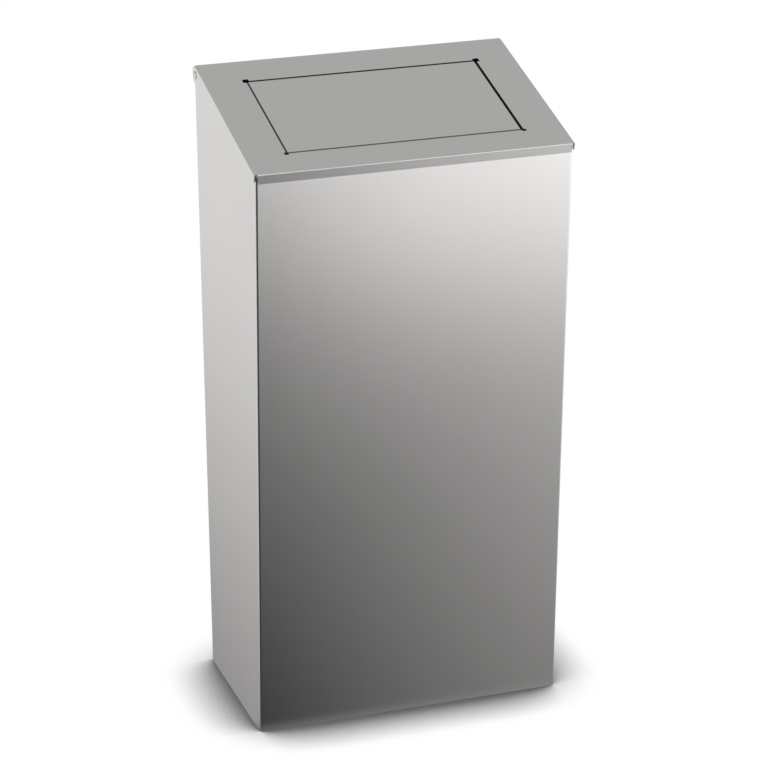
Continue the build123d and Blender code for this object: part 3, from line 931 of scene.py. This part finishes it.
@dataclass
class Studio:
    """Camera, white floor, pale surroundings and soft lamps."""

    lamps: tuple[Softbox, ...] = (
        Softbox("window_light", (1.35, -1.15, 0.75), (0.0, -0.1, 0.45), (1.3, 1.4), 3.0),
        Softbox("front_light", (-0.4, -3.3, 2.4), (0.0, 0.0, 0.55), (1.6, 0.7), 48.0),
        Softbox("left_light", (-2.6, 0.2, 2.3), (0.0, 0.0, 0.55), (0.8, 1.4), 30.0),
    )
    camera_place: Vector = field(default_factory=lambda: Vector((-0.8345, -2.4791, 1.2882)))
    camera_right: Vector = field(default_factory=lambda: Vector((0.94676, -0.32184, -0.00753)))
    camera_up: Vector = field(default_factory=lambda: Vector((0.11944, 0.32947, 0.93658)))
    lens: float = 137.7
    sensor: float = 36.0
    view_reach: float = 50.0
    floor_size: float = 12.0
    floor_grey: float = 0.75
    floor_roughness: float = 0.8
    shadow_reach: float = 0.085
    shadow_samples: int = 16
    shadow_ends: tuple[float, float] = (0.5, 0.88)
    contact_shade: float = 0.10
    sky: float = 0.62
    sky_tint: tuple[float, float, float] = (1.0, 1.0, 0.985)
    mirror_tint: tuple[float, float, float] = (1.0, 0.982, 0.976)
    front_line: float = -0.065
    front_level: float = 0.20
    front_rise: float = 0.90
    front_far: tuple[float, float, float] = (0.78, 1.15, 0.72)
    front_far_across: tuple[float, float] = (0.10, 0.32)
    front_darkest: float = 0.06
    front_blur: float = 0.02
    beside: tuple[float, float, float, float] = (0.15, 0.55, 0.44, 1.06)

    def build(self) -> None:
        """Sets the camera, the world, the floor and the lamps."""
        self._camera()
        self._world()
        self._floor()
        for lamp in self.lamps:
            lamp.hang()
        bpy.context.scene.view_settings.view_transform = "Standard"

    def _camera(self) -> None:
        """Places the camera where the photograph was taken from."""
        data = bpy.data.cameras.new("camera")
        data.lens = self.lens
        data.sensor_width = self.sensor
        data.clip_end = self.view_reach
        camera = bpy.data.objects.new("camera", data)
        back = self.camera_right.cross(self.camera_up)
        turn = Matrix((self.camera_right, self.camera_up, back)).transposed().to_4x4()
        camera.matrix_world = Matrix.Translation(self.camera_place) @ turn
        bpy.context.scene.collection.objects.link(camera)
        bpy.context.scene.camera = camera
        log.info("camera at %s", tuple(round(part, 3) for part in self.camera_place))

    def _world(self) -> None:
        """Makes the surroundings white where they are seen and evenly grey as a light."""
        world = bpy.data.worlds.new("surroundings")
        world.use_nodes = True
        bpy.context.scene.world = world
        nodes = Nodes(world.node_tree)
        back = world.node_tree.nodes["Background"]
        seen = nodes.add("ShaderNodeBackground")
        seen.inputs["Color"].default_value = (1, 1, 1, 1)
        seen.inputs["Strength"].default_value = 1.0
        back.inputs["Color"].default_value = (*self.sky_tint, 1)
        back.inputs["Strength"].default_value = self.sky
        path = nodes.add("ShaderNodeLightPath")
        mix = nodes.add("ShaderNodeMixShader")
        nodes.join(path.outputs["Is Camera Ray"], mix.inputs[0])
        nodes.join(back.outputs[0], mix.inputs[1])
        nodes.join(seen.outputs[0], mix.inputs[2])
        nodes.join(mix.outputs[0], world.node_tree.nodes["World Output"].inputs["Surface"])

    def _floor(self) -> None:
        """Lays a white floor that keeps a soft shadow round the bin's foot."""
        half = self.floor_size / 2
        mesh = bpy.data.meshes.new("floor")
        corners = [(-half, -half, 0), (half, -half, 0), (half, half, 0), (-half, half, 0)]
        mesh.from_pydata(corners, [], [(0, 1, 2, 3)])
        floor = bpy.data.objects.new("floor", mesh)
        bpy.context.scene.collection.objects.link(floor)
        material, nodes, shader = material_tree("white_floor")
        shader.inputs["Base Color"].default_value = (*[self.floor_grey] * 3, 1)
        shader.inputs["Roughness"].default_value = self.floor_roughness
        hollow = nodes.add("ShaderNodeAmbientOcclusion", samples=self.shadow_samples)
        hollow.inputs["Distance"].default_value = self.shadow_reach
        shade = self._graded(nodes, hollow.outputs["AO"], *self.shadow_ends, self.contact_shade, 1.0)
        white = nodes.add("ShaderNodeEmission")
        nodes.join(shade, white.inputs["Strength"])
        mirrored = nodes.add("ShaderNodeEmission")
        mirrored.inputs["Color"].default_value = (*self.mirror_tint, 1)
        nodes.join(self._mirrored_floor(nodes), mirrored.inputs["Strength"])
        path = nodes.add("ShaderNodeLightPath")
        unseen = nodes.add("ShaderNodeMixShader")
        nodes.join(path.outputs["Is Glossy Ray"], unseen.inputs[0])
        nodes.join(shader.outputs[0], unseen.inputs[1])
        nodes.join(mirrored.outputs[0], unseen.inputs[2])
        mix = nodes.add("ShaderNodeMixShader")
        nodes.join(path.outputs["Is Camera Ray"], mix.inputs[0])
        nodes.join(unseen.outputs[0], mix.inputs[1])
        nodes.join(white.outputs[0], mix.inputs[2])
        nodes.join(mix.outputs[0], material.node_tree.nodes["Material Output"].inputs["Surface"])
        mesh.materials.append(material)

    def _mirrored_floor(self, nodes: Nodes) -> bpy.types.NodeSocket:
        """Grades the floor as the steel mirrors it.

        It is dim in front of the bin, and paler far off, to the right and beside the bin.

        Args:
            nodes: the floor material's nodes.

        Returns:
            The strength of the mirrored floor at each of its points.
        """
        place = nodes.add("ShaderNodeTexCoord")
        split = nodes.add("ShaderNodeSeparateXYZ")
        nodes.join(place.outputs["Object"], split.inputs[0])
        ahead = nodes.compute("SUBTRACT", self.front_line, split.outputs["Y"])
        near, far, gain = self.front_far
        rising = self._graded(nodes, ahead, near, far, 0.0, gain)
        to_right = self._graded(nodes, split.outputs["X"], *self.front_far_across, 0.0, 1.0)
        distance = nodes.compute("MULTIPLY", rising, to_right)
        across = nodes.compute("MULTIPLY", split.outputs["X"], self.front_rise)
        level = nodes.compute("ADD", nodes.compute("ADD", across, self.front_level), distance)
        front = nodes.compute("MAXIMUM", level, self.front_darkest)
        outward = nodes.compute("ABSOLUTE", split.outputs["X"], 0.0)
        beside = self._graded(nodes, outward, *self.beside)
        in_front = self._graded(nodes, ahead, -self.front_blur, self.front_blur, 0.0, 1.0)
        mix = nodes.add("ShaderNodeMix", data_type="FLOAT")
        nodes.join(in_front, mix.inputs[MIX_FACTOR])
        for place_in, level_there in zip(MIX_NUMBERS, (beside, front)):
            nodes.join(level_there, mix.inputs[place_in])
        return mix.outputs[0]

    @staticmethod
    def _graded(nodes: Nodes, value: bpy.types.NodeSocket, *ends: float) -> bpy.types.NodeSocket:
        """Turns a value into a level, held at its ends.

        Args:
            nodes: the material's nodes.
            value: the value, such as a length.
            *ends: the values at both ends, and then the levels there.

        Returns:
            The level.
        """
        ramp = nodes.add("ShaderNodeMapRange")
        nodes.join(value, ramp.inputs["Value"])
        for name, end in zip(("From Min", "From Max", "To Min", "To Max"), ends):
            ramp.inputs[name].default_value = end
        return ramp.outputs[0]


def main() -> None:
    """Builds the studio and every sub-assembly in order."""
    Studio().build()
    finishes = Finishes()
    for assembly in (BodyShell, LidHinge, BagHolder, Lid, Flap):
        assembly(finishes).build()
        log.info("finished %s", assembly.__name__)


if __name__ == "__main__":
    main()
